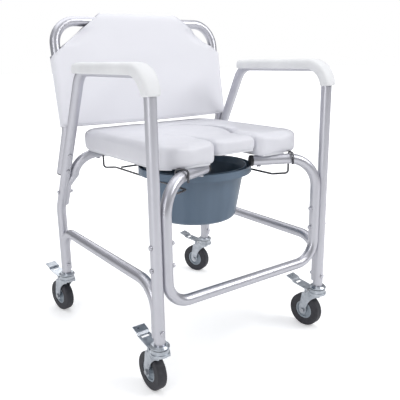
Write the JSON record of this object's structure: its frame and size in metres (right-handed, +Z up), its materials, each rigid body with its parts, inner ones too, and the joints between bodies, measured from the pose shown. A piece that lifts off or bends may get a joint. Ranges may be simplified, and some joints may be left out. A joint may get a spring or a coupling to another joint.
{
  "type": "commode chair",
  "caption": "Wheeled commode chair: bent aluminium tube frame, padded seat with lift-out insert, sling back, sliding pail on wire rails and braked swivel casters.",
  "frame": {"origin": "on the floor, under the middle of the whole chair's bounding box", "axes": "+X to the right as seen from the front, -Y towards the front, +Z up"},
  "size_m": [0.5518, 0.6258, 0.844],
  "materials": {
    "frame_tube": "satin anodised tube",
    "arm_pad": "soft moulded, matt white",
    "black_cap": "matt black",
    "sleeve": "coated white cloth",
    "seat_board": "matt white",
    "cushion": "smooth white vinyl",
    "pail": "blue-grey, fine grain",
    "wire": "bright plated wire",
    "fastener": "plated",
    "caster_steel": "zinc plated",
    "caster_pin": "plated",
    "hub": "light grey",
    "tyre": "matt dark grey"
  },
  "bodies": {
    "frame": {"side_frame_left": "frame_tube", "side_frame_right": "frame_tube", "front_loop": "frame_tube", "rear_loop": "frame_tube", "side_rail_left": "frame_tube", "side_rail_right": "frame_tube", "back_tube": "frame_tube", "arm_pad_left": "arm_pad", "arm_pad_right": "arm_pad", "arm_end_caps": "black_cap", "back_tube_plugs": "black_cap", "back_sling": "sleeve", "pail_rail_left": "wire", "pail_rail_right": "wire", "pail_stop_wire": "wire", "front_bolts": "fastener", "front_nuts": "fastener", "rear_bolts": "fastener", "rear_nuts": "fastener", "back_screws": "fastener", "back_nuts": "fastener", "rail_bolts": "fastener", "rail_nuts": "fastener", "seat_screws": "fastener", "seat_board": "seat_board", "seat_cushion": "cushion", "front_left_stem": "caster_steel", "front_right_stem": "caster_steel", "rear_left_stem": "caster_steel", "rear_right_stem": "caster_steel"},
    "seat_insert": {"insert_board": "seat_board", "insert_cushion": "cushion"},
    "pail": {"pail": "pail"},
    "front_left_swivel": {"front_left_fork": "caster_steel", "front_left_pins": "caster_pin"},
    "front_left_wheel": {"front_left_hub": "hub", "front_left_tyre": "tyre"},
    "front_left_brake": {"front_left_pedal": "caster_steel"},
    "front_right_swivel": {"front_right_fork": "caster_steel", "front_right_pins": "caster_pin"},
    "front_right_wheel": {"front_right_hub": "hub", "front_right_tyre": "tyre"},
    "front_right_brake": {"front_right_pedal": "caster_steel"},
    "rear_left_swivel": {"rear_left_fork": "caster_steel", "rear_left_pins": "caster_pin"},
    "rear_left_wheel": {"rear_left_hub": "hub", "rear_left_tyre": "tyre"},
    "rear_left_brake": {"rear_left_pedal": "caster_steel"},
    "rear_right_swivel": {"rear_right_fork": "caster_steel", "rear_right_pins": "caster_pin"},
    "rear_right_wheel": {"rear_right_hub": "hub", "rear_right_tyre": "tyre"},
    "rear_right_brake": {"rear_right_pedal": "caster_steel"}
  },
  "joints": [
    {"name": "insert_lift", "type": "slide", "parent": "frame", "child": "seat_insert", "axis": [0, 0, 1], "range_m": [0, 0.12]},
    {"name": "pail_pull", "type": "slide", "parent": "frame", "child": "pail", "axis": [0, -1, 0], "range_m": [0, 0.4]},
    {"name": "front_left_swivel_turn", "type": "hinge", "parent": "frame", "child": "front_left_swivel", "pos_m": [-0.25, -0.291, 0.11], "axis": [0, 0, 1], "continuous": true},
    {"name": "front_left_wheel_spin", "type": "hinge", "parent": "front_left_swivel", "child": "front_left_wheel", "pos_m": [-0.25, -0.256, 0.045], "axis": [-1, 0, 0], "continuous": true},
    {"name": "front_left_brake_press", "type": "hinge", "parent": "front_left_swivel", "child": "front_left_brake", "pos_m": [-0.25, -0.263, 0.099], "axis": [-1, 0, 0], "range_deg": [0, 14]},
    {"name": "front_right_swivel_turn", "type": "hinge", "parent": "frame", "child": "front_right_swivel", "pos_m": [0.25, -0.291, 0.11], "axis": [0, 0, 1], "continuous": true},
    {"name": "front_right_wheel_spin", "type": "hinge", "parent": "front_right_swivel", "child": "front_right_wheel", "pos_m": [0.24513, -0.25634, 0.045], "axis": [-0.9903, -0.1392, 0], "continuous": true},
    {"name": "front_right_brake_press", "type": "hinge", "parent": "front_right_swivel", "child": "front_right_brake", "pos_m": [0.2461, -0.26327, 0.099], "axis": [-0.9903, -0.1392, 0], "range_deg": [0, 14]},
    {"name": "rear_left_swivel_turn", "type": "hinge", "parent": "frame", "child": "rear_left_swivel", "pos_m": [-0.25, 0.219, 0.11], "axis": [0, 0, 1], "continuous": true},
    {"name": "rear_left_wheel_spin", "type": "hinge", "parent": "rear_left_swivel", "child": "rear_left_wheel", "pos_m": [-0.25548, 0.25357, 0.045], "axis": [-0.9877, -0.1564, 0], "continuous": true},
    {"name": "rear_left_brake_press", "type": "hinge", "parent": "rear_left_swivel", "child": "rear_left_brake", "pos_m": [-0.25438, 0.24666, 0.099], "axis": [-0.9877, -0.1564, 0], "range_deg": [0, 14]},
    {"name": "rear_right_swivel_turn", "type": "hinge", "parent": "frame", "child": "rear_right_swivel", "pos_m": [0.25, 0.219, 0.11], "axis": [0, 0, 1], "continuous": true},
    {"name": "rear_right_wheel_spin", "type": "hinge", "parent": "rear_right_swivel", "child": "rear_right_wheel", "pos_m": [0.23689, 0.25145, 0.045], "axis": [-0.9272, -0.3746, 0], "continuous": true},
    {"name": "rear_right_brake_press", "type": "hinge", "parent": "rear_right_swivel", "child": "rear_right_brake", "pos_m": [0.23951, 0.24496, 0.099], "axis": [-0.9272, -0.3746, 0], "range_deg": [0, 14]}
  ]
}
